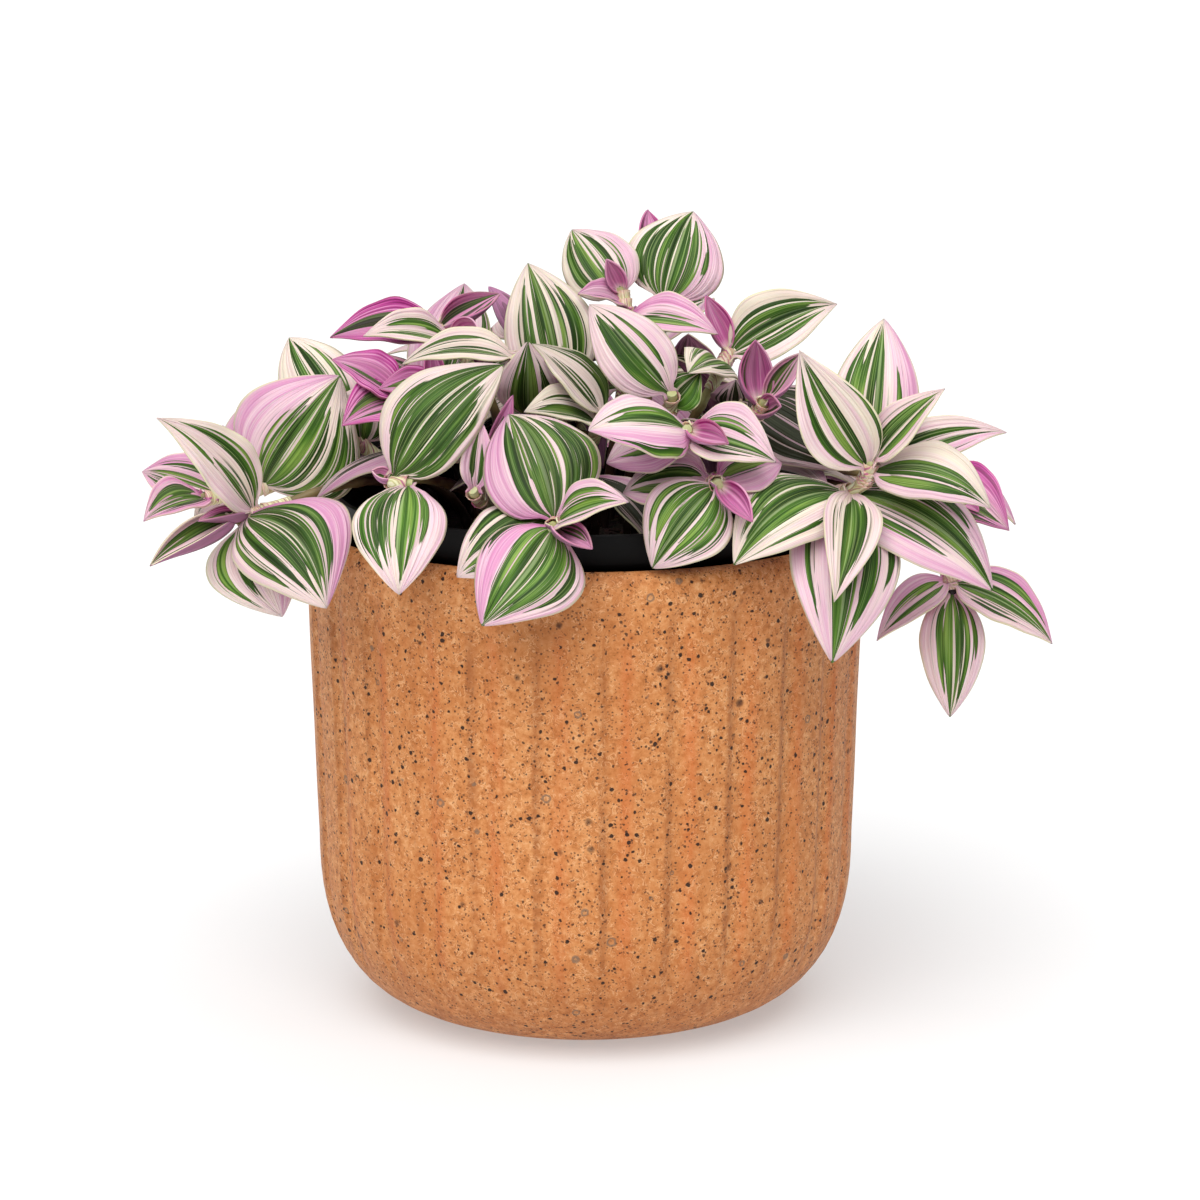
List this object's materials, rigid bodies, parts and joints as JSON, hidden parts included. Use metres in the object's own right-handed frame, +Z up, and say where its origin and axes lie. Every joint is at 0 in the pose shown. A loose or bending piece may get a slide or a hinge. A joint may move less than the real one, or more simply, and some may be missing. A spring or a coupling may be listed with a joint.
{
  "type": "potted tradescantia",
  "caption": "Bushy variegated tradescantia with pink, cream and green striped leaves, in a black nursery pot inside a fluted speckled stoneware cover pot.",
  "frame": {"origin": "centre of the cover pot's flat foot, on the surface it stands on", "axes": "+Z up, -Y towards the viewer, +X to the viewer's right"},
  "size_m": [0.2233, 0.1929, 0.1985],
  "materials": {
    "stoneware": "matte speckled stoneware, orange tan with dark iron pits",
    "black_plastic": "thin moulded black polypropylene, satin",
    "soil": "dark damp potting compost",
    "foliage": "leaves striped green on cream and pink, magenta beneath, on juicy green stems"
  },
  "bodies": {
    "root": {"cover_pot": "stoneware", "nursery_pot": "black_plastic", "shoot_back_crown_1": "foliage", "shoot_back_crown_2": "foliage", "shoot_back_inner_1": "foliage", "shoot_back_inner_2": "foliage", "shoot_back_inner_3": "foliage", "shoot_back_inner_4": "foliage", "shoot_back_outer_1": "foliage", "shoot_back_outer_2": "foliage", "shoot_back_outer_3": "foliage", "shoot_back_outer_4": "foliage", "shoot_back_outer_5": "foliage", "shoot_back_outer_6": "foliage", "shoot_back_outer_7": "foliage", "shoot_crown_cream": "foliage", "shoot_crown_left": "foliage", "shoot_crown_low": "foliage", "shoot_crown_pink": "foliage", "shoot_curl": "foliage", "shoot_dark_right": "foliage", "shoot_front": "foliage", "shoot_front_slim": "foliage", "shoot_left_edge": "foliage", "shoot_left_front": "foliage", "shoot_left_high": "foliage", "shoot_left_mid": "foliage", "shoot_low_1": "foliage", "shoot_low_2": "foliage", "shoot_low_3": "foliage", "shoot_low_4": "foliage", "shoot_low_5": "foliage", "shoot_low_6": "foliage", "shoot_middle": "foliage", "shoot_middle_low": "foliage", "shoot_purple_far": "foliage", "shoot_purple_mid": "foliage", "shoot_purple_near": "foliage", "shoot_right_edge": "foliage", "shoot_right_front": "foliage", "shoot_right_hanging": "foliage", "shoot_right_high": "foliage", "shoot_top": "foliage", "shoot_top_left": "foliage", "soil": "soil"}
  },
  "joints": []
}
